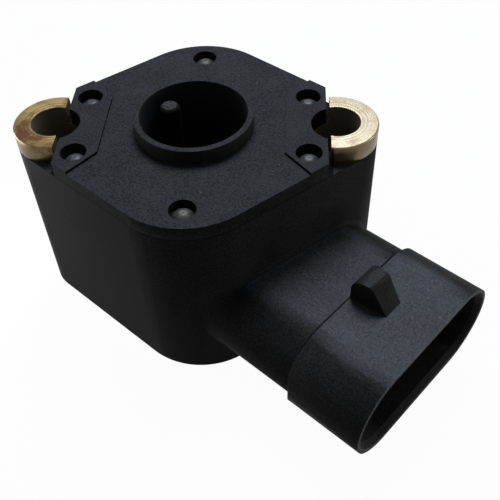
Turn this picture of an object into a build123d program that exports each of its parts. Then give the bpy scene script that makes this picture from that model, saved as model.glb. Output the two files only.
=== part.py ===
from build123d import *
import math
import os

# Rotary position sensor with a lozenge body, two brass mounting bushings and a plug socket.
# Millimetres and degrees. The origin is on the rotor axis, level with the cover's end pads, just
# below the bushing flanges that meet the bracket. +Z points out of the mounting face, and +X
# points the way a plug leaves the socket.

# Body outline, seen along the rotor axis
MOUNT_PITCH = 38.1
MOUNT_LINE_ANGLE = 40.0
CORNER_RADIUS = 5.55
NOSE_RADIUS = 10.7
NOSE_OFFSET = 8.8
BODY_HEIGHT = 28.85
BACK_EDGE_ROUND = 0.5

# Brass bushings
MOUNT_BORE = 6.3
BUSHING_DIAMETER = 8.6
D_CUT_OFFSET = 0.9
BUSHING_CHAMFER = 0.12
BUSHING_PROUD = 0.35

# Cover plate, its end pads, collar and sleeve
COVER_THICKNESS = 2.0
PAD_RISE = 0.35
PAD_LENGTH = 5.55
PAD_HALF_WIDTH = 5.9
COVER_END_GAP = 0.4
COVER_BORE_GAP = 0.3
COLLAR_BORE = 14.5
COLLAR_WALL = 0.8
COLLAR_RISE = 2.1
SLEEVE_WALL = 1.3

# Heat stakes that hold the cover
STAKE_DIAMETER = 2.1
STAKE_HEAD_DIAMETER = 2.8
STAKE_HEAD_HEIGHT = 0.75
STAKE_SHOULDER = 0.8
COUNTERBORE_DIAMETER = 3.5
END_STAKE_SETBACK = 3.75
END_STAKE_SPREAD = 6.0
NOSE_STAKE_INSET = 3.25

# Gasket groove and cavity, worked inwards from the bushings
GASKET_MARGIN = 0.35
GASKET_WIDTH = 1.2
GASKET_HEIGHT = 1.0
GASKET_ROUND = 0.3
GASKET_SIDE_ROOM = 0.1
GASKET_LAND = 0.8
LEDGE_WIDTH = 0.8
FLOOR_THICKNESS = 3.35

# Plug socket
SOCKET_AXIS_DEPTH = 19.25
SOCKET_SIDE_SHIFT = -0.25
NECK_WIDTH = 26.8
NECK_HEIGHT = 12.7
NECK_REACH = 28.4
NECK_ROOT_ROUND = 0.8
SHROUD_WIDTH = 28.5
SHROUD_HEIGHT = 13.2
SHROUD_LENGTH = 11.4
SHROUD_SHOULDER_ROUND = 0.85
SOCKET_WALL = 1.3
SOCKET_DEPTH = 11.2
MOUTH_LEAD_IN = 0.8
STEP_GROOVE = 0.14

# Latch lug on the shroud
LUG_LENGTH = 5.3
LUG_HEIGHT = 3.75
LUG_CREST_LENGTH = 2.9
LUG_BACK_WIDTH = 4.1
LUG_FOOT_WIDTH = 3.05
LUG_BACK_ROUND = 1.7
LUG_FRONT_ROUND = 0.9
LUG_SIDE_SHIFT = 0.55

# Terminals and board
TERMINAL_COUNT = 6
TERMINAL_PITCH = 3.9
TERMINAL_WIDTH = 1.5
TERMINAL_THICKNESS = 0.8
TERMINAL_TIP_RECESS = 5.0
TERMINAL_TIP_TAPER = 0.9
TERMINAL_BUSHING_GAP = 0.45
TAIL_INSET = 0.9
TAIL_RISE = 0.7
FAN_START_GAP = 0.4
FAN_LENGTH = 4.0
BOARD_THICKNESS = 1.2
BOARD_TERMINAL_GAP = 0.65
SOLDER_RADIUS = 0.95
SOLDER_TOP_RADIUS = 0.62
SOLDER_HEIGHT = 0.5

# Printed tracks and wipers
TRACK_THICKNESS = 0.1
TRACK_WIDTH = 1.4
TRACK_SPACING = 2.1
TRACK_OVERRUN = 12.0
SWITCH_IDLE_ARC = 20.0
SWITCH_GAP_ARC = 4.0
WIPER_ROOM = 2.2
WIPER_THICKNESS = 0.2
WIPER_LIFT = 0.06
WIPER_FOOT_LENGTH = 2.4
WIPER_REACH = 2.8
WIPER_TIP_LENGTH = 0.6
WIPER_TIP_RISE = 0.35
FINGER_WIDTH = 0.5
FINGER_GAP = 0.2
WIPER_PEG_DIAMETER = 1.0
WIPER_PEG_SPREAD = 2.6
WIPER_PEG_LENGTH = 0.6
POSITION_WIPER_ANGLE = 150.0
IDLE_WIPER_ANGLE = 330.0

# Rotor
ROTOR_TRAVEL = 75.0
ROTOR_END_PLAY = 0.3
JOURNAL_LENGTH = 3.8
FLANGE_THICKNESS = 1.5
FLANGE_GAP = 0.8
STEM_DIAMETER = 8.0
STEM_FLOOR_GAP = 0.1
STEM_BOARD_GAP = 0.5
PIVOT_DIAMETER = 4.9
PIVOT_LENGTH = 8.5
PIVOT_TIP_GAP = 0.4
DRIVE_POST_DIAMETER = 2.9
DRIVE_POST_RISE = 0.3
DRIVE_POST_WALL_GAP = 0.55
DRIVE_POST_ANGLE = 176.0
DRIVE_POST_CROWN = 0.6
STOP_ANGLE = 90.0
STOP_RIB_ARC = 12.0
STOP_SLACK_ARC = 1.6
STOP_BITE = 0.9
STOP_NOTCH_GAP = 0.3
STOP_RIB_OVERLAP = 0.5

# Rotor seal and return spring
SEAL_SECTION = 0.9
SEAL_GROOVE_WIDTH = 1.3
SEAL_SETBACK = 1.1
SPRING_WIRE = 1.0
SPRING_TURNS = 3.5
SPRING_PITCH = 1.6
SPRING_BEND = 1.0
SPRING_LEG_BITE = 1.0
SPRING_HOLE_GAP = 0.12
SPRING_START_ANGLE = 205.0

# Fits
RUNNING_CLEARANCE = 0.05
SEATED_CLEARANCE = 0.03

# Signs of the two sides of a symmetric feature
BOTH_SIDES = (1, -1)

# Heights
half_pitch = MOUNT_PITCH / 2
cover_top = -PAD_RISE
housing_top = cover_top - COVER_THICKNESS
collar_top = cover_top + COLLAR_RISE
back_face = -BODY_HEIGHT
floor_z = back_face + FLOOR_THICKNESS
counterbore_floor = housing_top + STAKE_SHOULDER
socket_z = -SOCKET_AXIS_DEPTH
shroud_top = socket_z + SHROUD_HEIGHT / 2
board_low = socket_z + TERMINAL_THICKNESS / 2 + BOARD_TERMINAL_GAP
board_top = board_low + BOARD_THICKNESS
flange_low = board_top + WIPER_ROOM
flange_top = flange_low + FLANGE_THICKNESS
sleeve_end = flange_top + ROTOR_END_PLAY
journal_top = flange_top + JOURNAL_LENGTH
stem_end = floor_z + STEM_FLOOR_GAP
pivot_top = floor_z + PIVOT_LENGTH
gasket_floor = housing_top - GASKET_HEIGHT

# Radii about the rotor axis
gasket_outer = half_pitch - BUSHING_DIAMETER / 2 - GASKET_MARGIN - GASKET_SIDE_ROOM
gasket_inner = gasket_outer - GASKET_WIDTH
groove_outer = gasket_outer + GASKET_SIDE_ROOM
groove_inner = gasket_inner - GASKET_SIDE_ROOM
cavity_radius = groove_inner - GASKET_LAND
chamber_radius = cavity_radius - LEDGE_WIDTH
collar_inner = COLLAR_BORE / 2
collar_outer = collar_inner + COLLAR_WALL
sleeve_outer = collar_inner + SLEEVE_WALL
journal_radius = collar_inner - RUNNING_CLEARANCE
seal_groove_radius = journal_radius - SEAL_SECTION
flange_radius = cavity_radius - FLANGE_GAP
stop_rib_inner = flange_radius - STOP_BITE
stop_notch_radius = stop_rib_inner - STOP_NOTCH_GAP
stem_radius = STEM_DIAMETER / 2
board_hole_radius = stem_radius + STEM_BOARD_GAP
tail_radius = chamber_radius - TAIL_INSET
outer_track = tail_radius - SOLDER_RADIUS - TRACK_WIDTH
inner_track = outer_track - TRACK_SPACING
spring_radius = (sleeve_outer + cavity_radius) / 2
drive_post_radius = collar_inner - DRIVE_POST_WALL_GAP - DRIVE_POST_DIAMETER / 2

# Places along the socket and along the line of mounting holes
mouth_x = NECK_REACH + SHROUD_LENGTH
socket_floor_x = mouth_x - SOCKET_DEPTH
terminal_tip_x = mouth_x - TERMINAL_TIP_RECESS
bushing_x = half_pitch * math.cos(math.radians(MOUNT_LINE_ANGLE))
bushing_y = half_pitch * math.sin(math.radians(MOUNT_LINE_ANGLE))
fan_start_x = bushing_x + BUSHING_DIAMETER / 2 + FAN_START_GAP
tail_span = 2 * (bushing_y - BUSHING_DIAMETER / 2 - TERMINAL_BUSHING_GAP) - TERMINAL_WIDTH
d_cut_x = half_pitch - D_CUT_OFFSET
cover_end_x = d_cut_x - COVER_END_GAP
pad_inner_x = cover_end_x - PAD_LENGTH
nose_reach = NOSE_OFFSET + NOSE_RADIUS
wall_angle = math.asin((NOSE_RADIUS - CORNER_RADIUS) / math.hypot(half_pitch, NOSE_OFFSET))
wall_angle += math.atan2(NOSE_OFFSET, half_pitch)
mount_line = Rot(0, 0, MOUNT_LINE_ANGLE)


def prism(sketch, low, high):
    """Extrude a sketch in plan between two heights."""
    return Pos(0, 0, low) * extrude(sketch, amount=high - low)


def disc(radius, low, high):
    return prism(Circle(radius), low, high)


def ring(inner, outer, low, high):
    return prism(Circle(outer) - Circle(inner), low, high)


def turned(points):
    """Turn a closed profile of (radius, height) points about the rotor axis."""
    profile = Plane.XZ * make_face(Polyline(*points, close=True))
    return revolve(profile, axis=Axis.Z)


def ring_sector(inner, outer, low, high, start, end):
    """A ring between two angles."""
    section = Plane.XZ * Pos((inner + outer) / 2, (low + high) / 2) * Rectangle(outer - inner, high - low)
    return Rot(0, 0, start) * revolve(section, axis=Axis.Z, revolution_arc=end - start)


def body_outline():
    """The lozenge: round corners at the mounting holes and wide noses between them."""
    corners = [Pos(side * half_pitch, 0) * Circle(CORNER_RADIUS) for side in BOTH_SIDES]
    noses = [Pos(0, side * NOSE_OFFSET) * Circle(NOSE_RADIUS) for side in BOTH_SIDES]
    return make_hull([circle.edge() for circle in corners + noses])


def stake_places():
    """The six stakes in the frame of the mounting holes."""
    end_x = half_pitch - END_STAKE_SETBACK
    ends = [(x * end_x, y * END_STAKE_SPREAD) for x in BOTH_SIDES for y in BOTH_SIDES]
    noses = [(0, y * (nose_reach - NOSE_STAKE_INSET)) for y in BOTH_SIDES]
    return ends + noses


def socket_section(width, height, x):
    return Plane.YZ * Pos(SOCKET_SIDE_SHIFT, socket_z, x) * SlotOverall(width, height)


def socket_prism(width, height, start, end):
    """A stadium section along the socket's axis."""
    return extrude(socket_section(width, height, start), amount=end - start)


def make_stake():
    """A post through the cover with a domed head on the counterbore's floor."""
    post = disc(STAKE_DIAMETER / 2, housing_top, counterbore_floor)
    head_radius = STAKE_HEAD_DIAMETER / 2
    dome_radius = (head_radius**2 + STAKE_HEAD_HEIGHT**2) / (2 * STAKE_HEAD_HEIGHT)
    dome = Pos(0, 0, counterbore_floor + STAKE_HEAD_HEIGHT - dome_radius) * Sphere(dome_radius)
    return post + (dome & disc(dome_radius, counterbore_floor, counterbore_floor + STAKE_HEAD_HEIGHT))


def make_lug():
    """The latch lug: upright at the back, rounded at its crest, sloping to its foot."""
    root = shroud_top - SOCKET_WALL / 2
    crest = shroud_top + LUG_HEIGHT
    foot_x = NECK_REACH + LUG_LENGTH
    crest_x = NECK_REACH + LUG_CREST_LENGTH
    outline = Polyline(
        (NECK_REACH, root),
        (NECK_REACH, crest),
        (crest_x, crest),
        (foot_x, shroud_top),
        (foot_x, root),
        close=True,
    )
    profile = make_face(outline)
    back_corner = profile.vertices().sort_by_distance((NECK_REACH, crest))[0]
    profile = fillet(back_corner, LUG_BACK_ROUND)
    front_corner = profile.vertices().sort_by_distance((crest_x, crest))[0]
    profile = fillet(front_corner, LUG_FRONT_ROUND)
    side = extrude(Plane.XZ * profile, amount=LUG_BACK_WIDTH, both=True)
    plan = Polyline(
        (NECK_REACH, -LUG_BACK_WIDTH / 2),
        (foot_x, -LUG_FOOT_WIDTH / 2),
        (foot_x, LUG_FOOT_WIDTH / 2),
        (NECK_REACH, LUG_BACK_WIDTH / 2),
        close=True,
    )
    return Pos(0, SOCKET_SIDE_SHIFT + LUG_SIDE_SHIFT) * (side & prism(make_face(plan), root, crest))


def make_shroud():
    """The wider end of the socket, with its back corners rounded in plan."""
    shroud = socket_prism(SHROUD_WIDTH, SHROUD_HEIGHT, NECK_REACH, mouth_x)
    plan = Pos((NECK_REACH + mouth_x) / 2, SOCKET_SIDE_SHIFT) * Rectangle(SHROUD_LENGTH, SHROUD_WIDTH)
    plan = fillet(plan.vertices().sort_by(Axis.X)[:2], SHROUD_SHOULDER_ROUND)
    return shroud & prism(plan, socket_z - SHROUD_HEIGHT / 2, shroud_top)


def make_step_groove():
    """The fine groove round the neck where the shroud starts."""
    groove_start = NECK_REACH - STEP_GROOVE
    groove = socket_prism(SHROUD_WIDTH, SHROUD_HEIGHT, groove_start, NECK_REACH)
    core_width = NECK_WIDTH - 2 * STEP_GROOVE
    core_height = NECK_HEIGHT - 2 * STEP_GROOVE
    return groove - socket_prism(core_width, core_height, groove_start, NECK_REACH)


def make_socket_room():
    """The room for the plug, which widens at the mouth."""
    inner_width = SHROUD_WIDTH - 2 * SOCKET_WALL
    inner_height = SHROUD_HEIGHT - 2 * SOCKET_WALL
    room = socket_prism(inner_width, inner_height, socket_floor_x, mouth_x)
    narrow = socket_section(inner_width, inner_height, mouth_x - MOUTH_LEAD_IN)
    wide = socket_section(inner_width + 2 * MOUTH_LEAD_IN, inner_height + 2 * MOUTH_LEAD_IN, mouth_x)
    return room + loft([narrow, wide])


def make_housing(terminals):
    body = prism(body_outline(), back_face, housing_top)
    body = mount_line * fillet(body.edges().group_by(Axis.Z)[0], BACK_EDGE_ROUND)
    neck = socket_prism(NECK_WIDTH, NECK_HEIGHT, 0, NECK_REACH)
    housing = body + neck
    housing = fillet(new_edges(body, neck, combined=housing), NECK_ROOT_ROUND)
    housing -= make_step_groove()
    housing += make_shroud() + make_lug()
    housing -= make_socket_room()
    housing -= disc(cavity_radius, board_low, housing_top)
    housing -= disc(chamber_radius, floor_z, board_low)
    housing -= ring(groove_inner, groove_outer, gasket_floor, housing_top)
    for side in BOTH_SIDES:
        bushing_hole = disc(BUSHING_DIAMETER / 2 + SEATED_CLEARANCE, back_face, housing_top)
        housing -= mount_line * Pos(side * half_pitch, 0) * bushing_hole

    housing += disc(PIVOT_DIAMETER / 2, floor_z, pivot_top)
    rib_start = STOP_ANGLE - STOP_RIB_ARC / 2
    rib_top = flange_top + STOP_RIB_OVERLAP
    rib_root = cavity_radius + GASKET_LAND / 2
    housing += ring_sector(stop_rib_inner, rib_root, board_low, rib_top, rib_start, rib_start + STOP_RIB_ARC)
    for x, y in stake_places():
        housing += mount_line * Pos(x, y) * make_stake()
    for terminal in terminals:
        housing -= terminal
    return housing


def make_cover():
    plate = body_outline() & Rectangle(2 * cover_end_x, 2 * nose_reach)
    for side in BOTH_SIDES:
        plate -= Pos(side * half_pitch, 0) * Circle(MOUNT_BORE / 2 + COVER_BORE_GAP)
    cover = prism(plate, housing_top, cover_top)

    # Each pad's inner corners are cut square to the plate's straight edges.
    shoulder_x = pad_inner_x + nose_reach * math.sin(wall_angle)
    shoulder_y = PAD_HALF_WIDTH + nose_reach * math.cos(wall_angle)
    for side in BOTH_SIDES:
        pad = Polyline(
            (side * pad_inner_x, -PAD_HALF_WIDTH),
            (side * shoulder_x, -shoulder_y),
            (side * shoulder_x, shoulder_y),
            (side * pad_inner_x, PAD_HALF_WIDTH),
            close=True,
        )
        cover += prism(make_face(pad) & plate, cover_top, 0)

    cover += disc(collar_outer, cover_top, collar_top)
    cover += disc(sleeve_outer, sleeve_end, housing_top)
    cover -= disc(collar_inner, sleeve_end, collar_top)
    for x, y in stake_places():
        cover -= Pos(x, y) * disc(STAKE_DIAMETER / 2 + SEATED_CLEARANCE, housing_top, counterbore_floor)
        cover -= Pos(x, y) * disc(COUNTERBORE_DIAMETER / 2, counterbore_floor, 0)
    cover = mount_line * cover

    leg_x, leg_y = spring_leg_place(upper=True)
    leg_radius = SPRING_WIRE / 2 + SPRING_HOLE_GAP
    leg_hole = disc(leg_radius, housing_top, housing_top + SPRING_LEG_BITE + SPRING_HOLE_GAP)
    return cover - Pos(leg_x, leg_y) * leg_hole


def make_bushing(side):
    """A turned sleeve whose flange stands proud of the pads and is cut flat on the side of the rotor."""
    flange = disc(CORNER_RADIUS, housing_top, BUSHING_PROUD)
    flange = chamfer(flange.edges().group_by(Axis.Z)[-1], BUSHING_CHAMFER)
    cut_depth = CORNER_RADIUS - D_CUT_OFFSET
    cutter = Pos(-D_CUT_OFFSET - cut_depth / 2, 0) * Rectangle(cut_depth, 2 * CORNER_RADIUS)
    flange -= prism(cutter, housing_top, BUSHING_PROUD)
    bushing = flange + disc(BUSHING_DIAMETER / 2, back_face, housing_top)
    bushing -= disc(MOUNT_BORE / 2, back_face, BUSHING_PROUD)
    facing = 0 if side > 0 else 180
    return mount_line * Pos(side * half_pitch, 0) * Rot(0, 0, facing) * bushing


def make_rotor():
    seal_high = journal_top - SEAL_SETBACK
    seal_low = seal_high - SEAL_GROOVE_WIDTH
    bore_radius = PIVOT_DIAMETER / 2 + RUNNING_CLEARANCE
    bore_end = pivot_top + PIVOT_TIP_GAP
    rotor = turned([
        (0, journal_top),
        (journal_radius, journal_top),
        (journal_radius, seal_high),
        (seal_groove_radius, seal_high),
        (seal_groove_radius, seal_low),
        (journal_radius, seal_low),
        (journal_radius, flange_top),
        (flange_radius, flange_top),
        (flange_radius, flange_low),
        (stem_radius, flange_low),
        (stem_radius, stem_end),
        (bore_radius, stem_end),
        (bore_radius, bore_end),
        (0, bore_end),
    ])
    post = disc(DRIVE_POST_DIAMETER / 2, journal_top, DRIVE_POST_RISE)
    post = fillet(post.edges().group_by(Axis.Z)[-1], DRIVE_POST_CROWN)
    rotor += Rot(0, 0, DRIVE_POST_ANGLE) * Pos(drive_post_radius, 0) * post

    notch_start = STOP_ANGLE - STOP_RIB_ARC / 2 - STOP_SLACK_ARC - ROTOR_TRAVEL
    notch_end = STOP_ANGLE + STOP_RIB_ARC / 2 + STOP_SLACK_ARC
    rotor -= ring_sector(stop_notch_radius, cavity_radius, flange_low, flange_top, notch_start, notch_end)
    leg_x, leg_y = spring_leg_place(upper=False)
    rotor -= Pos(leg_x, leg_y) * disc(SPRING_WIRE / 2 + SPRING_HOLE_GAP, flange_low, flange_top)
    for angle in (POSITION_WIPER_ANGLE, IDLE_WIPER_ANGLE):
        for x, y in wiper_peg_places():
            peg = disc(WIPER_PEG_DIAMETER / 2, flange_low - WIPER_PEG_LENGTH, flange_low)
            rotor += Rot(0, 0, angle) * Pos(x, y) * peg
    return rotor


def spring_coil():
    """The coil's centre line, half way between the cover's underside and the rotor's flange."""
    height = SPRING_PITCH * SPRING_TURNS
    low = (housing_top + flange_top - height) / 2
    coil = Helix(pitch=SPRING_PITCH, height=height, radius=spring_radius)
    return Rot(0, 0, SPRING_START_ANGLE) * Pos(0, 0, low) * coil


def spring_end(upper):
    """An end of the coil, the way its wire leaves, that way in plan, and its slope."""
    coil = spring_coil()
    point, along = (coil @ 1, coil % 1) if upper else (coil @ 0, (coil % 0) * -1)
    level = Vector(along.X, along.Y, 0).normalized()
    return point, along, level, math.asin(abs(along.Z))


def spring_leg_place(upper):
    """Where an upright leg of the spring stands, in plan."""
    point, along, level, slope = spring_end(upper)
    place = point + level * (SPRING_BEND * (1 - math.sin(slope)))
    return place.X, place.Y


def spring_leg(upper):
    """The bend at an end of the coil and the upright leg beyond it."""
    point, along, level, slope = spring_end(upper)
    upright = Vector(0, 0, 1) if upper else Vector(0, 0, -1)
    leg_end = housing_top + SPRING_LEG_BITE if upper else flange_top - SPRING_LEG_BITE
    bend_plane = Plane(origin=point, x_dir=along, z_dir=level.cross(upright))
    bend = bend_plane * JernArc((0, 0), (1, 0), SPRING_BEND, 90 - math.degrees(slope))
    foot = bend @ 1
    return [bend, Line(foot, (foot.X, foot.Y, leg_end))]


def make_spring():
    """A torsion coil with one leg bent up into the cover and one bent down into the rotor."""
    pieces = [spring_coil()] + spring_leg(True) + spring_leg(False)
    path = Wire([edge for piece in pieces for edge in piece.edges()])
    section = Plane(origin=path @ 0, z_dir=path % 0) * Circle(SPRING_WIRE / 2)
    return sweep(section, path=path)


def make_seal():
    section_radius = (SEAL_SECTION - RUNNING_CLEARANCE) / 2
    seal_z = journal_top - SEAL_SETBACK - SEAL_GROOVE_WIDTH / 2
    ring_radius = seal_groove_radius + RUNNING_CLEARANCE / 2 + section_radius
    return Pos(0, 0, seal_z) * Torus(ring_radius, section_radius)


def make_gasket():
    gasket = ring(gasket_inner, gasket_outer, gasket_floor, housing_top)
    return fillet(gasket.edges(), GASKET_ROUND)


def tail_places():
    """The terminals' tails stand on an arc, where the board takes them, inside the bushing's flank."""
    pitch = tail_span / (TERMINAL_COUNT - 1)
    offsets = [index * pitch - tail_span / 2 for index in range(TERMINAL_COUNT)]
    return [(math.sqrt(tail_radius**2 - y**2), y) for y in offsets]


def make_terminal(index):
    """A stamped blade that fans in from the socket to its tail on the board."""
    tail_x, tail_y = tail_places()[index]
    blade_y = SOCKET_SIDE_SHIFT + (index - (TERMINAL_COUNT - 1) / 2) * TERMINAL_PITCH
    route = Polyline(
        (tail_x, tail_y),
        (fan_start_x, tail_y),
        (fan_start_x + FAN_LENGTH, blade_y),
        (terminal_tip_x, blade_y),
    )
    low = socket_z - TERMINAL_THICKNESS / 2
    blade = prism(trace(route, line_width=TERMINAL_WIDTH), low, low + TERMINAL_THICKNESS)
    tip = Polyline(
        (terminal_tip_x - TERMINAL_TIP_TAPER, TERMINAL_WIDTH),
        (terminal_tip_x + TERMINAL_WIDTH, TERMINAL_WIDTH),
        (terminal_tip_x + TERMINAL_WIDTH, -TERMINAL_WIDTH),
        (terminal_tip_x - TERMINAL_TIP_TAPER, -TERMINAL_WIDTH),
        (terminal_tip_x, 0),
        close=True,
    )
    blade -= Pos(0, blade_y) * prism(make_face(tip), low, low + TERMINAL_THICKNESS)
    tail = Rectangle(TERMINAL_THICKNESS, TERMINAL_THICKNESS)
    return blade + Pos(tail_x, tail_y) * prism(tail, socket_z, board_top + TAIL_RISE)


def make_board():
    board = ring(board_hole_radius, cavity_radius - SEATED_CLEARANCE, board_low, board_top)
    notch_arc = STOP_RIB_ARC + STOP_SLACK_ARC
    start = STOP_ANGLE - notch_arc / 2
    board -= ring_sector(stop_notch_radius, cavity_radius, board_low, board_top, start, start + notch_arc)
    hole_side = TERMINAL_THICKNESS + 2 * SEATED_CLEARANCE
    hole = Rectangle(hole_side, hole_side)
    for x, y in tail_places():
        board -= Pos(x, y) * prism(hole, board_low, board_top)
    return board


def make_solder():
    """A cone of solder round each tail, on the board."""
    joints = []
    for x, y in tail_places():
        cone = Cone(SOLDER_RADIUS, SOLDER_TOP_RADIUS, SOLDER_HEIGHT)
        joint = Pos(x, y, board_top + SOLDER_HEIGHT / 2) * cone
        tail = Rectangle(TERMINAL_THICKNESS, TERMINAL_THICKNESS)
        joints.append(joint - Pos(x, y) * prism(tail, board_top, board_top + SOLDER_HEIGHT))
    return Compound([solid for joint in joints for solid in joint.solids()])


def track_arc(radius, start, end):
    half = TRACK_WIDTH / 2
    return ring_sector(radius - half, radius + half, board_top, board_top + TRACK_THICKNESS, start, end)


def make_position_track():
    """The resistor arc and the collector arc inside it."""
    start = POSITION_WIPER_ANGLE - TRACK_OVERRUN
    end = POSITION_WIPER_ANGLE + ROTOR_TRAVEL + TRACK_OVERRUN
    arcs = [track_arc(radius, start, end) for radius in (outer_track, inner_track)]
    return Compound([solid for arc in arcs for solid in arc.solids()])


def make_idle_track():
    """The switch's common arc, and outside it an idle arc and a working arc."""
    start = IDLE_WIPER_ANGLE - TRACK_OVERRUN
    end = IDLE_WIPER_ANGLE + ROTOR_TRAVEL + TRACK_OVERRUN
    idle_end = start + SWITCH_IDLE_ARC
    arcs = [
        track_arc(inner_track, start, end),
        track_arc(outer_track, start, idle_end),
        track_arc(outer_track, idle_end + SWITCH_GAP_ARC, end),
    ]
    return Compound([solid for arc in arcs for solid in arc.solids()])


def wiper_peg_places():
    """The two pegs of a wiper, with the contact points on the local X axis."""
    middle = (outer_track + inner_track) / 2
    foot_y = -WIPER_REACH - WIPER_FOOT_LENGTH / 2
    return [(middle + side * WIPER_PEG_SPREAD / 2, foot_y) for side in BOTH_SIDES]


def make_wiper(angle):
    """A leaf contact: a foot under the flange and two pairs of fingers on the tracks."""
    foot_width = TRACK_SPACING + 2 * FINGER_WIDTH + FINGER_GAP
    middle = (outer_track + inner_track) / 2
    foot_y = -WIPER_REACH - WIPER_FOOT_LENGTH / 2
    foot = Pos(middle, foot_y) * Rectangle(foot_width, WIPER_FOOT_LENGTH)
    for x, y in wiper_peg_places():
        foot -= Pos(x, y) * Circle(WIPER_PEG_DIAMETER / 2 + SEATED_CLEARANCE)
    wiper = prism(foot, flange_low - WIPER_THICKNESS, flange_low)

    root_z = flange_low - WIPER_THICKNESS / 2
    contact_z = board_top + TRACK_THICKNESS + WIPER_LIFT + WIPER_THICKNESS / 2
    bend = Polyline(
        (-WIPER_REACH - WIPER_THICKNESS, root_z),
        (-WIPER_REACH, root_z),
        (0, contact_z),
        (WIPER_TIP_LENGTH, contact_z + WIPER_TIP_RISE),
    )
    finger = extrude(Plane.YZ * trace(bend, line_width=WIPER_THICKNESS), amount=FINGER_WIDTH)
    for track in (outer_track, inner_track):
        for start in (track - FINGER_WIDTH - FINGER_GAP / 2, track + FINGER_GAP / 2):
            wiper += Pos(start, 0) * finger
    return Rot(0, 0, angle) * wiper


terminals = [make_terminal(index) for index in range(TERMINAL_COUNT)]
nodes = {
    "housing": make_housing(terminals),
    "cover": make_cover(),
    "mount_bushing_right": make_bushing(1),
    "mount_bushing_left": make_bushing(-1),
    "rotor": make_rotor(),
    "return_spring": make_spring(),
    "rotor_seal": make_seal(),
    "cover_gasket": make_gasket(),
    "circuit_board": make_board(),
    "solder_joints": make_solder(),
    "position_track": make_position_track(),
    "idle_track": make_idle_track(),
    "position_wiper": make_wiper(POSITION_WIPER_ANGLE),
    "idle_wiper": make_wiper(IDLE_WIPER_ANGLE),
}
for index, terminal in enumerate(terminals):
    nodes["terminal_" + chr(ord("a") + index)] = terminal

os.makedirs("parts", exist_ok=True)
for name, shape in nodes.items():
    export_step(shape, os.path.join("parts", name + ".step"))
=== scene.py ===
import math

import bmesh
import bpy
from mathutils import Matrix, Vector


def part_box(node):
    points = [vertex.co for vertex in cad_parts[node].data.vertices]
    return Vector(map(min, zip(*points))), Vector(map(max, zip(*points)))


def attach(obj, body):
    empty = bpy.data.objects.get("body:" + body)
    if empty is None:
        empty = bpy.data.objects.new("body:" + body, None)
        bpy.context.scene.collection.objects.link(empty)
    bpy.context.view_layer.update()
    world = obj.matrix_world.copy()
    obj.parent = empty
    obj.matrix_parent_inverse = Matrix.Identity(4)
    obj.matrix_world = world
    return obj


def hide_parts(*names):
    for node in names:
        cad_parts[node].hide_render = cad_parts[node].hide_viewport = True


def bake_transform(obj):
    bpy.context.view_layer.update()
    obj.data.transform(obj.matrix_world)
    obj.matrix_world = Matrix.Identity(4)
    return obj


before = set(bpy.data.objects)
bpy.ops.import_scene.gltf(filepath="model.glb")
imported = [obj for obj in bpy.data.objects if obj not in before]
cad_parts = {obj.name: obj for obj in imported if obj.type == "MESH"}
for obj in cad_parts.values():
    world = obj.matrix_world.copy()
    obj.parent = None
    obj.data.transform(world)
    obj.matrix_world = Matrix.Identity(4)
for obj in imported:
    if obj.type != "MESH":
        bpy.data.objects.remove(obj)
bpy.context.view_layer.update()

# Sizes are in metres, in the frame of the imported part
MM = 0.001
ROTOR_AXIS = (0.0, 0.0, 0.0)
MOUNT_LINE_ANGLE = math.radians(40.0)
MOUNT_LINE = Vector((math.cos(MOUNT_LINE_ANGLE), math.sin(MOUNT_LINE_ANGLE), 0.0))
MOUNT_PITCH = 38.1 * MM
FLANGE_RADIUS = 5.55 * MM
FLANGE_TOP = 0.35 * MM
SLOT_REACH = 18.4 * MM
WELL_RADIUS = 7.26 * MM
COLLAR_RADIUS = 8.3 * MM
COLLAR_TOP = 1.75 * MM
COVER_TOP = -0.35 * MM
JOINT_HEIGHT = -2.35 * MM
SHROUD_TOP = -12.65 * MM
STEP_PLACE = 28.25 * MM
MOUTH = 39.8 * MM

# The photograph's camera, for a square picture
CAMERA_PLACE = Vector((61.26, -53.02, 61.67)) * MM
CAMERA_LOOK = Vector((-0.4755, 0.4852, -0.7338))
CAMERA_UP = Vector((-0.4790, 0.5567, 0.6786))
FOCAL_LENGTH = 53.66
SENSOR_WIDTH = 36.0
CLIP_START = 1.0 * MM

# Edge rounding of the moulded and turned pieces
MOULD_EDGE = 0.14 * MM
TURNED_EDGE = 0.08 * MM
EDGE_SEGMENTS = 2
EDGE_ANGLE = math.radians(32)
WELD_DISTANCE = 0.002 * MM

# Upward part of the normal where a face starts to count as level, and where it fully does
LEVEL_NORMALS = (0.92, 0.998)

# Grain and shine of the moulded plastic: tones are ranges of a noise, which runs from 0 to 1
GRAIN_SIZE = 0.25 * MM
COVER_GRAIN_SIZE = 0.27 * MM
GRAIN_DEPTH = 0.03 * MM
GRAIN_SHARE = 0.8
CLOUD_SIZE = 5.0 * MM
CLOUD_SHARE = 0.2
PLASTIC_TONES = (0.4, 0.6)
PLASTIC_SHINE_TONES = (0.38, 0.62)
PLASTIC_ROUGHNESS = (0.5, 0.68)
PLASTIC_SPECULAR = 0.015

# Dust, and painted light on level faces: heights where they start, lie in full and thin out, and the
# dust's specks
HOUSING_DUST_AND_TOP_LIGHT = (SHROUD_TOP - 2.3 * MM, SHROUD_TOP - 0.1 * MM, SHROUD_TOP + 0.1 * MM)
COVER_DUST_AND_TOP_LIGHT = (COVER_TOP - 0.6 * MM, COVER_TOP - 0.1 * MM, COLLAR_TOP)
DUST_AND_LIGHT_TONES = (0.39, 0.63)
DUST_AND_LIGHT_FADE = 0.3 * MM
DUST_AND_LIGHT_REST = 0.35
SPECK_SIZE = 0.36 * MM
SPECK_FADE = 0.06
SPECK_SHARE = 0.4
DUST_COLOUR = (0.15, 0.155, 0.165)

# Painted light on the well's walls, and in part on the outside of its collar
WELL_PAINTED_LIGHT = (0.017, 0.017, 0.019)
WELL_FADE = 0.05 * MM
COLLAR_SHARE = 0.5
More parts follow.
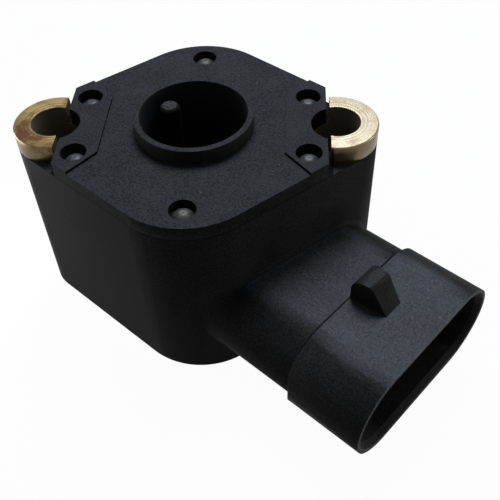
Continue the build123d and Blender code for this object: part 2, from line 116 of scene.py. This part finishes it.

# Painted highlight on the rim of the mouth, in patches: where it begins and is full, as depths behind
# the mouth
RIM_BEGINS = 0.16 * MM
RIM_FULL = 0.02 * MM
RIM_TONES = (0.4, 0.65)
RIM_SHARES = (0.1, 0.9)
RIM_HIGHLIGHT_COLOUR = (0.085, 0.085, 0.082)

# Grime in the joint under the cover, and painted shade on the slots' floors, in the groove at the
# shroud's step and on the level faces inside the bushings
GRIME_AND_SHADE_COLOUR = (0.003, 0.003, 0.003)
GRIME_AND_SHADE_SHARE = 0.9
JOINT_GRIME = (0.06 * MM, 0.12 * MM)
STEP_SHADE = (0.16 * MM, 0.22 * MM)
SLOT_FADE = 0.1 * MM

# Turned brass: lathe rings, tarnish, sides darker as painted shade, the stained front of the left
# bushing, darkened further as painted shade, and the brown bores
RING_SIZE = 0.26 * MM
RING_DEPTH = 0.02 * MM
RING_TONES = (0.45, 0.65)
RING_TARNISH = 0.5
TARNISH_SIZE = 1.6 * MM
TARNISH_TONES = (0.42, 0.66)
FACE_TARNISH = 0.9
SIDE_TARNISH = 0.6
STAIN_AND_SHADE_COLOUR = (0.05, 0.018, 0.006)
STAIN_AND_SHADE_START = 1.0 * MM
STAIN_AND_SHADE_FULL = 4.0 * MM
STAIN_TONES = (0.36, 0.56)
STAIN_PATCHES = 0.5
STAIN_AND_SHADE_ON_SIDES = 0.35
LEFT_STAIN_AND_SHADE = 0.85
BORE_BROWN = (0.085, 0.072, 0.05)
BORE_ROUGHNESS = 0.7
BORE_DEPTHS = (0.15 * MM, 0.05 * MM)
BORE_MARGINS = (0.2 * MM, 0.1 * MM)
BRASS_SHINE_TONES = (0.35, 0.7)
BRASS_ROUGHNESS = (0.28, 0.46)
BRASS_SPECULAR = 0.05

# Melted stakes, plated metals, and coatings
PATCH_TONES = (0.3, 0.7)
PATCH_DEPTH = 0.01 * MM
METAL_PATCH = 0.5 * MM
COATING_PATCH = 0.4 * MM
COATING_SPECULAR = 0.3
SWIRL_SIZE = 0.5 * MM
SWIRL_DEPTH = 0.05 * MM
STAKE_ROUGHNESS = (0.38, 0.54)
STAKE_SPECULAR = 0.24

# Stake heads, in the frame of the mounting holes
STAKE_END_ALONG = 15.3 * MM
STAKE_END_ACROSS = 6.0 * MM
STAKE_MIDDLE_ACROSS = 16.25 * MM
STAKE_SEAT = -1.55 * MM
STAKE_RADIUS = 1.42 * MM
STAKE_HEIGHT = 0.8 * MM
STAKE_CRATER_RADIUS = 0.5 * MM
STAKE_CRATER_DEPTH = 0.06 * MM
STAKE_SIDES = 48
STAKE_RINGS = 16

# The white table and sky, which camera, glossy and transmission rays see alike
FLOOR_SIZE = 4.0
FLOOR_COLOUR = (0.42, 0.42, 0.42, 1)
FLOOR_ROUGHNESS = 0.9
FLOOR_WHITE = 0.965
SKY_WHITE = 1.0
FILL_COLOUR = (0.86, 0.92, 1.0, 1)
FILL_STRENGTH = 0.14
COOL_LIGHT = (0.88, 0.94, 1.0)
WARM_LIGHT = (1.0, 0.99, 0.97)

# Places of the colour sockets on Blender's mix node
MIX_FIRST, MIX_SECOND, MIX_RESULT = 6, 7, 2

SCENE = bpy.context.scene


class Shader:
    """A material's node tree, with short calls for the nodes that the finishes share."""

    def __init__(self, name):
        self.material = bpy.data.materials.new(name)
        self.material.use_nodes = True
        self.nodes = self.material.node_tree.nodes
        self.links = self.material.node_tree.links
        self.surface = self.nodes["Principled BSDF"]
        coordinates = self.nodes.new("ShaderNodeTexCoord")
        self.place = coordinates.outputs["Object"]

    def link(self, source, target):
        self.links.new(source, target)

    def node(self, kind, **settings):
        made = self.nodes.new(kind)
        for key, value in settings.items():
            setattr(made, key, value)
        return made

    def math(self, operation, *values):
        """One step of arithmetic on numbers or sockets."""
        made = self.node("ShaderNodeMath", operation=operation)
        for socket, value in zip(made.inputs, values):
            if isinstance(value, (int, float)):
                socket.default_value = value
            else:
                self.link(value, socket)
        return made.outputs[0]

    def vector_math(self, operation, source, constant=None):
        """One step of arithmetic on a vector socket."""
        made = self.node("ShaderNodeVectorMath", operation=operation)
        self.link(source, made.inputs[0])
        if constant is not None:
            made.inputs[1].default_value = constant
        return made.outputs

    def product(self, *factors):
        total = factors[0]
        for factor in factors[1:]:
            total = self.math("MULTIPLY", total, factor)
        return total

    def span(self, factor, low, high, from_low=0.0, from_high=1.0):
        """Maps a value to a range."""
        made = self.node("ShaderNodeMapRange")
        made.inputs["From Min"].default_value = from_low
        made.inputs["From Max"].default_value = from_high
        made.inputs["To Min"].default_value = low
        made.inputs["To Max"].default_value = high
        self.link(factor, made.inputs["Value"])
        return made.outputs["Result"]

    def apart(self, value, centre):
        """How far a value lies from a centre, either way."""
        return self.math("ABSOLUTE", self.math("SUBTRACT", value, centre))

    def along(self, axis):
        """The place along one axis of the part's frame."""
        parts = self.node("ShaderNodeSeparateXYZ")
        self.link(self.place, parts.inputs[0])
        return parts.outputs[axis]

    def along_line(self, direction):
        """The place along a line through the rotor's axis."""
        return self.vector_math("DOT_PRODUCT", self.place, direction)["Value"]

    def distance(self, centre):
        """Distance from an upright axis through a point."""
        shift = self.vector_math("SUBTRACT", self.place, centre)["Vector"]
        flat = self.vector_math("MULTIPLY", shift, (1, 1, 0))["Vector"]
        return self.vector_math("LENGTH", flat)["Value"]

    def facing_up(self):
        """0 on walls, rising to 1 on level faces."""
        geometry = self.node("ShaderNodeNewGeometry")
        parts = self.node("ShaderNodeSeparateXYZ")
        self.link(geometry.outputs["Normal"], parts.inputs[0])
        return self.span(parts.outputs["Z"], 0.0, 1.0, *LEVEL_NORMALS)

    def noise(self, feature, detail=2.0, roughness=0.5):
        """Noise whose features are about the given length in metres."""
        made = self.node("ShaderNodeTexNoise")
        made.inputs["Scale"].default_value = 1.0 / feature
        made.inputs["Detail"].default_value = detail
        made.inputs["Roughness"].default_value = roughness
        self.link(self.place, made.inputs["Vector"])
        return made.outputs["Fac"]

    def rings(self, radius, feature):
        """Noise that changes with the radius alone, as lathe marks do."""
        made = self.node("ShaderNodeTexNoise", noise_dimensions="1D")
        made.inputs["Scale"].default_value = 1.0 / feature
        made.inputs["Detail"].default_value = 2.0
        self.link(radius, made.inputs["W"])
        return made.outputs["Fac"]

    def ramp(self, factor, tones, dark, light):
        """A colour that runs from dark to light over a range of tones."""
        made = self.node("ShaderNodeValToRGB")
        for element, tone, colour in zip(made.color_ramp.elements, tones, (dark, light)):
            element.position = tone
            element.color = (*colour, 1.0)
        self.link(factor, made.inputs["Fac"])
        return made.outputs["Color"]

    def mix(self, factor, first, second):
        """The first colour where the factor is 0, and the second where it is 1."""
        made = self.node("ShaderNodeMix", data_type="RGBA")
        self.link(factor, made.inputs["Factor"])
        for place, value in ((MIX_FIRST, first), (MIX_SECOND, second)):
            if isinstance(value, tuple):
                made.inputs[place].default_value = (*value, 1.0)
            else:
                self.link(value, made.inputs[place])
        return made.outputs[MIX_RESULT]

    def bump(self, height, distance, strength):
        made = self.node("ShaderNodeBump")
        made.inputs["Strength"].default_value = strength
        made.inputs["Distance"].default_value = distance
        self.link(height, made.inputs["Height"])
        return made.outputs["Normal"]

    def finish(self, colour, roughness, normal, **constants):
        """Feeds the surface shader. Values that are the same all over go on its own sockets."""
        self.link(colour, self.surface.inputs["Base Color"])
        self.link(roughness, self.surface.inputs["Roughness"])
        self.link(normal, self.surface.inputs["Normal"])
        for socket, value in constants.items():
            self.surface.inputs[socket.replace("_", " ")].default_value = value
        return self.material


def paint_light_on_well(shader, colour, outside, wall):
    """Painted light: lightens the walls of the well, and in part the outside of its collar."""
    radius = shader.distance(ROTOR_AXIS)
    near = shader.span(radius, 1.0, 0.0, COLLAR_RADIUS, COLLAR_RADIUS + WELL_FADE)
    share = shader.span(outside, 1.0, COLLAR_SHARE)
    return shader.mix(shader.product(near, share, wall), colour, WELL_PAINTED_LIGHT)


def lay_dust_and_top_light(shader, colour, settled_and_lit, thinning, tone, dust_and_top_light, bare, specks):
    """A lighter haze on level faces, partly dust and partly painted light on the tops, thinner in the
    dark of the grain, and single dust specks.
    """
    patchy = shader.span(tone, bare, 1.0, *DUST_AND_LIGHT_TONES)
    # Painted light: the haze lightens the level faces, standing in part for dust
    colour = shader.mix(shader.product(settled_and_lit, thinning, patchy), colour, dust_and_top_light)
    dust = shader.noise(SPECK_SIZE, detail=1.0)
    fallen = shader.span(dust, 0.0, SPECK_SHARE, specks, specks + SPECK_FADE)
    return shader.mix(shader.product(fallen, settled_and_lit), colour, DUST_COLOUR)


def paint_rim_highlight(shader, colour, fine):
    """A lighter rim of the socket's mouth, in patches: a painted highlight."""
    rim = shader.span(shader.along("X"), 0.0, 1.0, MOUTH - RIM_BEGINS, MOUTH - RIM_FULL)
    patchy_highlight = shader.span(fine, *RIM_SHARES, *RIM_TONES)
    return shader.mix(shader.product(rim, patchy_highlight), colour, RIM_HIGHLIGHT_COLOUR)


def grime_joint_and_shade_slots(shader, colour, height, outside, level, wall):
    """Grime in the joint under the cover, and painted shade on the floors of the slots beside the
    bushings.
    """
    darkened = shader.span(shader.apart(height, JOINT_HEIGHT), GRIME_AND_SHADE_SHARE, 0.0, *JOINT_GRIME)
    colour = shader.mix(shader.product(darkened, wall, outside), colour, GRIME_AND_SHADE_COLOUR)
    reach = shader.apart(shader.along_line(MOUNT_LINE), 0.0)
    slot = shader.span(reach, 1.0, 0.0, SLOT_REACH, SLOT_REACH + SLOT_FADE)
    # Painted shade on the floors of the slots
    return shader.mix(shader.product(darkened, slot, level), colour, GRIME_AND_SHADE_COLOUR)


def shade_step(shader, colour, above):
    """Painted shade in the groove where the neck meets the shroud."""
    darkened = shader.span(shader.apart(shader.along("X"), STEP_PLACE), GRIME_AND_SHADE_SHARE, 0.0, *STEP_SHADE)
    return shader.mix(shader.product(above, darkened), colour, GRIME_AND_SHADE_COLOUR)


def moulded_plastic(name, dark, light, dust_and_top_light, heights, bare, specks, well=WELL_RADIUS, grain=GRAIN_SIZE):
    """Glass-filled plastic: fine grain, dust with painted light on level faces outside the well, painted
    light on the well's walls, grime in the joint, painted shade in the slots and at the step, and a
    painted highlight on the mouth's rim.
    """
    shader = Shader(name)
    fine = shader.noise(grain, detail=3.0, roughness=0.7)
    cloud = shader.noise(CLOUD_SIZE, detail=3.0)
    tone = shader.math("ADD", shader.product(fine, GRAIN_SHARE), shader.product(cloud, CLOUD_SHARE))
    start, full, top = heights
    height = shader.along("Z")
    above = shader.span(height, 0.0, 1.0, start, full)
    thinning = shader.span(height, 1.0, DUST_AND_LIGHT_REST, top, top + DUST_AND_LIGHT_FADE)
    outside = shader.span(shader.distance(ROTOR_AXIS), 0.0, 1.0, well, well + WELL_FADE)
    level = shader.facing_up()
    wall = shader.math("SUBTRACT", 1.0, level)
    settled_and_lit = shader.product(level, outside, above)
    colour = shader.ramp(tone, PLASTIC_TONES, dark, light)
    if well:
        colour = paint_light_on_well(shader, colour, outside, wall)
    colour = lay_dust_and_top_light(shader, colour, settled_and_lit, thinning, tone, dust_and_top_light, bare, specks)
    colour = paint_rim_highlight(shader, colour, fine)
    colour = grime_joint_and_shade_slots(shader, colour, height, outside, level, wall)
    colour = shade_step(shader, colour, above)
    roughness = shader.span(tone, *PLASTIC_ROUGHNESS, *PLASTIC_SHINE_TONES)
    normal = shader.bump(fine, GRAIN_DEPTH, strength=0.6)
    return shader.finish(colour, roughness, normal, Specular_IOR_Level=PLASTIC_SPECULAR)


def staked_plastic():
    """The melted, polished skin of a heat stake."""
    shader = Shader("staked_plastic")
    swirl = shader.noise(SWIRL_SIZE, detail=3.0)
    colour = shader.ramp(swirl, PATCH_TONES, dark=(0.014, 0.014, 0.016), light=(0.032, 0.034, 0.037))
    roughness = shader.span(swirl, *STAKE_ROUGHNESS, *PATCH_TONES)
    normal = shader.bump(swirl, SWIRL_DEPTH, strength=0.6)
    return shader.finish(colour, roughness, normal, Specular_IOR_Level=STAKE_SPECULAR)


def stain_and_shade_front(shader, colour, centre, cloud, level, stain_and_shade):
    """A patchy, reddish stain with painted shade on the side of a bushing that looks along -Y, weaker on
    its walls.
    """
    # Painted shade together with the stain: darker towards -Y
    front = shader.span(shader.along("Y"), stain_and_shade, 0.0, centre[1] - STAIN_AND_SHADE_FULL, centre[1] - STAIN_AND_SHADE_START)
    patchy = shader.span(cloud, STAIN_PATCHES, 1.0, *STAIN_TONES)
    share = shader.span(level, STAIN_AND_SHADE_ON_SIDES, 1.0)
    return shader.mix(shader.product(front, patchy, share), colour, STAIN_AND_SHADE_COLOUR)


def inside_bushing(shader, radius):
    """1 in the bore and on what lies below the flange's top, and 0 on the flange itself."""
    deep, shallow = BORE_DEPTHS
    below = shader.span(shader.along("Z"), 1.0, 0.0, FLANGE_TOP - deep, FLANGE_TOP - shallow)
    inner, outer = BORE_MARGINS
    within = shader.span(radius, 1.0, 0.0, FLANGE_RADIUS - inner, FLANGE_RADIUS - outer)
    return shader.product(below, within)


def turned_brass(name, centre, bright, tarnish, side, stain_and_shade=0.0):
    """Brass faced on a lathe: rings about the bore, tarnish, sides darker as painted shade, and a brown
    bore whose level faces below the flange get painted shade.
    """
    shader = Shader(name)
    radius = shader.distance(centre)
    rings = shader.rings(radius, RING_SIZE)
    cloud = shader.noise(TARNISH_SIZE, detail=4.0, roughness=0.62)
    level = shader.facing_up()
    face = shader.mix(shader.span(cloud, 0.0, FACE_TARNISH, *TARNISH_TONES), bright, tarnish)
    face = shader.mix(shader.span(rings, 0.0, RING_TARNISH, *RING_TONES), face, tarnish)
    wall = shader.mix(shader.span(cloud, 0.0, SIDE_TARNISH, *TARNISH_TONES), side, tarnish)
    # Painted shade: the walls take the darker side colour, the level faces the brighter one
    colour = shader.mix(level, wall, face)
    if stain_and_shade:
        colour = stain_and_shade_front(shader, colour, centre, cloud, level, stain_and_shade)
    inside = inside_bushing(shader, radius)
    # Painted shade: level faces below the flange's top are made near black; the bore's walls keep brown
    # oxide
    colour = shader.mix(inside, colour, shader.mix(level, BORE_BROWN, GRIME_AND_SHADE_COLOUR))
    shader.link(shader.span(inside, 1.0, 0.0), shader.surface.inputs["Metallic"])
    shine = shader.span(cloud, *BRASS_ROUGHNESS, *BRASS_SHINE_TONES)
    roughness = shader.math("MAXIMUM", shine, shader.product(inside, BORE_ROUGHNESS))
    normal = shader.bump(rings, RING_DEPTH, strength=0.6)
    return shader.finish(colour, roughness, normal, Specular_IOR_Level=BRASS_SPECULAR)


def metal(name, dark, light, roughness):
    """Plated or drawn metal with a slightly uneven shine."""
    shader = Shader(name)
    patch = shader.noise(METAL_PATCH, detail=3.0)
    colour = shader.ramp(patch, PATCH_TONES, dark, light)
    shine = shader.span(patch, *roughness, *PATCH_TONES)
    normal = shader.bump(patch, PATCH_DEPTH, strength=0.4)
    return shader.finish(colour, shine, normal, Metallic=1.0)


def coated(name, dark, light, roughness):
    """Rubber, laminate or printed ink."""
    shader = Shader(name)
    patch = shader.noise(COATING_PATCH, detail=4.0)
    colour = shader.ramp(patch, PATCH_TONES, dark, light)
    shine = shader.span(patch, *roughness, *PATCH_TONES)
    normal = shader.bump(patch, PATCH_DEPTH, strength=0.5)
    return shader.finish(colour, shine, normal, Specular_IOR_Level=COATING_SPECULAR)


def assign(material, *names):
    for name in names:
        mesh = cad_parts[name].data
        mesh.materials.clear()
        mesh.materials.append(material)


def dress_plastics():
    """The housing, dusty and painted lighter on its socket's top, the darker cover, and the rotor,
    painted darker still as shade in the well.
    """
    housing = moulded_plastic(
        "housing_plastic",
        dark=(0.0065, 0.0065, 0.0067),
        light=(0.018, 0.0177, 0.018),
        dust_and_top_light=(0.055, 0.0588, 0.068),
        heights=HOUSING_DUST_AND_TOP_LIGHT,
        bare=0.4,
        specks=0.69,
    )
    cover = moulded_plastic(
        "cover_plastic",
        dark=(0.005, 0.005, 0.0052),
        light=(0.016, 0.0158, 0.0162),
        dust_and_top_light=(0.029, 0.0296, 0.0355),
        heights=COVER_DUST_AND_TOP_LIGHT,
        bare=0.15,
        specks=0.72,
        grain=COVER_GRAIN_SIZE,
    )
    # Painted shade: the rotor, deep in the well, gets darker plastic than the cover
    rotor = moulded_plastic(
        "rotor_plastic",
        dark=(0.004, 0.004, 0.004),
        light=(0.008, 0.008, 0.008),
        dust_and_top_light=(0.05, 0.05, 0.052),
        heights=COVER_DUST_AND_TOP_LIGHT,
        bare=0.1,
        specks=0.72,
        well=0.0,
    )
    assign(housing, "housing")
    assign(cover, "cover")
    assign(rotor, "rotor")


def dress_bushings():
    """Pale brass on the right, and warmer, stained brass on the left, whose front is darkened further as
    painted shade; on both, the sides are darker as painted shade.
    """
    right = turned_brass(
        "brass_right",
        centre=MOUNT_LINE * (MOUNT_PITCH / 2),
        bright=(0.25, 0.225, 0.17),
        tarnish=(0.14, 0.106, 0.066),
        side=(0.15, 0.114, 0.062),
    )
    left = turned_brass(
        "brass_left",
        centre=MOUNT_LINE * (-MOUNT_PITCH / 2),
        bright=(0.29, 0.212, 0.09),
        tarnish=(0.042, 0.022, 0.01),
        side=(0.14, 0.103, 0.05),
        stain_and_shade=LEFT_STAIN_AND_SHADE,
    )
    assign(right, "mount_bushing_right")
    assign(left, "mount_bushing_left")


def dress_inside():
    """The spring, seals, board and contacts inside, and the terminals in the socket."""
    steel = metal("spring_steel", (0.3, 0.3, 0.31), (0.55, 0.55, 0.56), roughness=(0.25, 0.4))
    rubber = coated("seal_rubber", (0.01, 0.01, 0.01), (0.025, 0.025, 0.026), roughness=(0.6, 0.8))
    laminate = coated("board_laminate", (0.03, 0.12, 0.06), (0.06, 0.2, 0.1), roughness=(0.3, 0.45))
    solder = metal("solder", (0.5, 0.5, 0.49), (0.72, 0.72, 0.7), roughness=(0.18, 0.34))
    ink = coated("track_ink", (0.02, 0.02, 0.022), (0.05, 0.05, 0.055), roughness=(0.4, 0.6))
    alloy = metal("wiper_alloy", (0.6, 0.42, 0.22), (0.84, 0.64, 0.38), roughness=(0.2, 0.35))
    tin = metal("terminal_tin", (0.42, 0.42, 0.4), (0.66, 0.65, 0.62), roughness=(0.22, 0.4))
    assign(steel, "return_spring")
    assign(rubber, "rotor_seal", "cover_gasket")
    assign(laminate, "circuit_board")
    assign(solder, "solder_joints")
    assign(ink, "position_track", "idle_track")
    assign(alloy, "position_wiper", "idle_wiper")
    assign(tin, *["terminal_" + letter for letter in "abcdef"])


def round_edges(width, *names):
    """Softens the sharp edges of pieces, as moulding and deburring do."""
    for name in names:
        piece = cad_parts[name]
        weld = piece.modifiers.new("weld", "WELD")
        weld.merge_threshold = WELD_DISTANCE
        bevel = piece.modifiers.new("edges", "BEVEL")
        bevel.width = width
        bevel.segments = EDGE_SEGMENTS
        bevel.limit_method = "ANGLE"
        bevel.angle_limit = EDGE_ANGLE
        bevel.harden_normals = True


def stake_profile():
    """Radius and height of the head from its rim towards its centre, with a shallow crater on top."""
    dome = (STAKE_RADIUS**2 + STAKE_HEIGHT**2) / (2 * STAKE_HEIGHT)
    points = []
    for step in range(STAKE_RINGS):
        radius = STAKE_RADIUS * (1 - step / STAKE_RINGS)
        height = math.sqrt(dome**2 - radius**2) - (dome - STAKE_HEIGHT)
        inside = max(0.0, 1 - (radius / STAKE_CRATER_RADIUS) ** 2)
        points.append((radius, height - STAKE_CRATER_DEPTH * inside**2))
    return points


def stake_mesh(name):
    """The profile turned about the stake's axis, closed underneath."""
    shape = bmesh.new()
    angles = [2 * math.pi * side / STAKE_SIDES for side in range(STAKE_SIDES)]
    rings = []
    for radius, height in stake_profile():
        points = [(radius * math.cos(angle), radius * math.sin(angle), height) for angle in angles]
        rings.append([shape.verts.new(point) for point in points])
    sides = [(side, (side + 1) % STAKE_SIDES) for side in range(STAKE_SIDES)]
    for outer, inner in zip(rings, rings[1:]):
        for side, after in sides:
            shape.faces.new((outer[side], outer[after], inner[after], inner[side]))
    top = shape.verts.new((0, 0, STAKE_HEIGHT - STAKE_CRATER_DEPTH))
    for side, after in sides:
        shape.faces.new((rings[-1][side], rings[-1][after], top))
    shape.faces.new(list(reversed(rings[0])))
    mesh = bpy.data.meshes.new(name)
    shape.to_mesh(mesh)
    shape.free()
    mesh.polygons.foreach_set("use_smooth", [True] * len(mesh.polygons))
    return mesh


def make_stake_heads():
    """The six melted heads that hold the cover: four at its ends and two beside the collar."""
    places = [(x * STAKE_END_ALONG, y * STAKE_END_ACROSS) for x in (1, -1) for y in (1, -1)]
    places += [(0.0, y * STAKE_MIDDLE_ACROSS) for y in (1, -1)]
    turn = Matrix.Rotation(MOUNT_LINE_ANGLE, 4, "Z")
    material = staked_plastic()
    for index, place in enumerate(places, start=1):
        name = f"stake_head_{index}"
        head = bpy.data.objects.new(name, stake_mesh(name))
        head.data.materials.append(material)
        SCENE.collection.objects.link(head)
        head.location = turn @ Vector((*place, STAKE_SEAT))
        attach(head, "sensor_body")


def make_wound_spring():
    """The torsion spring, whose coils wind up between its leg in the cover and its leg in the rotor."""
    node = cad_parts["return_spring"]
    spring = bpy.data.objects.new("wound_spring", node.data.copy())
    spring.matrix_world = node.matrix_world
    SCENE.collection.objects.link(spring)
    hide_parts("return_spring")
    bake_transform(spring)


def seen_background(tree, share):
    """How white the background looks to the rays that see it, and 0 to those that light the object."""
    path = tree.nodes.new("ShaderNodeLightPath")
    total = None
    for name in ("Is Camera Ray", "Is Glossy Ray", "Is Transmission Ray"):
        part = tree.nodes.new("ShaderNodeMath")
        part.operation = "MULTIPLY_ADD"
        tree.links.new(path.outputs[name], part.inputs[0])
        part.inputs[1].default_value = share
        part.inputs[2].default_value = 0.0
        if total:
            tree.links.new(total, part.inputs[2])
        total = part.outputs[0]
    return total


def make_floor():
    """A plain white table that keeps a soft shadow."""
    bpy.ops.mesh.primitive_plane_add(size=FLOOR_SIZE, location=(0, 0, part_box("housing")[0].z))
    floor = bpy.context.object
    floor.name = "floor"
    material = bpy.data.materials.new("floor_white")
    material.use_nodes = True
    tree = material.node_tree
    surface = tree.nodes["Principled BSDF"]
    surface.inputs["Base Color"].default_value = FLOOR_COLOUR
    surface.inputs["Roughness"].default_value = FLOOR_ROUGHNESS
    glow = tree.nodes.new("ShaderNodeEmission")
    blend = tree.nodes.new("ShaderNodeMixShader")
    tree.links.new(seen_background(tree, FLOOR_WHITE), blend.inputs[0])
    tree.links.new(surface.outputs[0], blend.inputs[1])
    tree.links.new(glow.outputs[0], blend.inputs[2])
    tree.links.new(blend.outputs[0], tree.nodes["Material Output"].inputs["Surface"])
    floor.data.materials.append(material)


def make_world():
    """White where it is seen, and a weaker fill light."""
    world = bpy.data.worlds.new("studio")
    SCENE.world = world
    world.use_nodes = True
    tree = world.node_tree
    fill = tree.nodes["Background"]
    fill.inputs["Color"].default_value = FILL_COLOUR
    fill.inputs["Strength"].default_value = FILL_STRENGTH
    white = tree.nodes.new("ShaderNodeBackground")
    white.inputs["Color"].default_value = (1, 1, 1, 1)
    blend = tree.nodes.new("ShaderNodeMixShader")
    tree.links.new(seen_background(tree, SKY_WHITE), blend.inputs[0])
    tree.links.new(fill.outputs[0], blend.inputs[1])
    tree.links.new(white.outputs[0], blend.inputs[2])
    tree.links.new(blend.outputs[0], tree.nodes["World Output"].inputs["Surface"])


def make_lamp(name, place, target, size, power, colour):
    """A round lamp that the camera doesn't see, with its size in metres and its power in watts."""
    lamp = bpy.data.lights.new(name, "AREA")
    lamp.shape = "DISK"
    lamp.size = size
    lamp.energy = power
    lamp.color = colour
    holder = bpy.data.objects.new(name, lamp)
    holder.location = place
    holder.rotation_euler = (Vector(target) - Vector(place)).to_track_quat("-Z", "Y").to_euler()
    holder.visible_camera = False
    SCENE.collection.objects.link(holder)


def make_lights():
    """A large soft lamp above and behind, and small ones for the left and right walls."""
    make_lamp(
        "sky_lamp",
        place=(-0.09, 0.14, 0.31),
        target=(0.01, 0.0, -0.01),
        size=0.2,
        power=2.0,
        colour=COOL_LIGHT,
    )
    make_lamp(
        "left_lamp",
        place=(-0.036, -0.032, -0.004),
        target=(-0.014, -0.0175, -0.013),
        size=0.02,
        power=0.02,
        colour=WARM_LIGHT,
    )
    make_lamp(
        "right_lamp",
        place=(0.1, 0.09, 0.0),
        target=(0.018, 0.015, -0.015),
        size=0.03,
        power=0.07,
        colour=WARM_LIGHT,
    )


def make_camera():
    """The photograph's camera."""
    camera = bpy.data.cameras.new("camera")
    camera.lens = FOCAL_LENGTH
    camera.sensor_width = SENSOR_WIDTH
    camera.clip_start = CLIP_START
    holder = bpy.data.objects.new("camera", camera)
    back = -CAMERA_LOOK.normalized()
    right = CAMERA_UP.cross(back).normalized()
    up = back.cross(right)
    turn = Matrix((right, up, back)).transposed().to_4x4()
    holder.matrix_world = Matrix.Translation(CAMERA_PLACE) @ turn
    SCENE.collection.objects.link(holder)
    SCENE.camera = holder


dress_plastics()
dress_bushings()
dress_inside()
round_edges(MOULD_EDGE, "housing", "cover")
round_edges(TURNED_EDGE, "mount_bushing_left", "mount_bushing_right")
make_stake_heads()
make_wound_spring()
make_floor()
make_world()
make_lights()
make_camera()
SCENE.view_settings.view_transform = "Standard"
